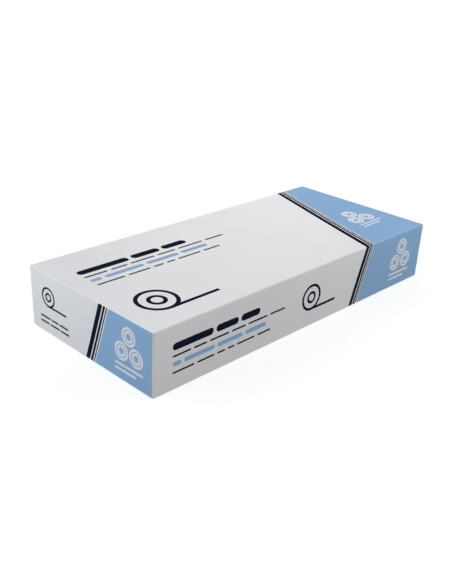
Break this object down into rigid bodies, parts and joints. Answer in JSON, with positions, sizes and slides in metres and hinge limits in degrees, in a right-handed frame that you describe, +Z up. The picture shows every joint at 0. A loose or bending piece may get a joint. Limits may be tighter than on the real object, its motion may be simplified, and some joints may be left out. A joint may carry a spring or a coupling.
{
  "type": "foil roll carton",
  "caption": "Long flat printed board carton, glued shut at both ends, that holds wide aluminium foil refill rolls side by side and rests on its base.",
  "frame": {"origin": "middle of the base, on the surface that the carton rests on", "axes": "+X along the rolls, from the end that the picture shows to the far end; -Y is the long front side; +Z up"},
  "size_m": [0.46, 0.206, 0.072],
  "materials": {
    "board": "white-lined board, smooth matt coating",
    "blue_ink": "light blue offset ink on the board",
    "navy_ink": "dark navy offset ink on the board"
  },
  "bodies": {
    "root": {"carton": "board"}
  },
  "joints": []
}
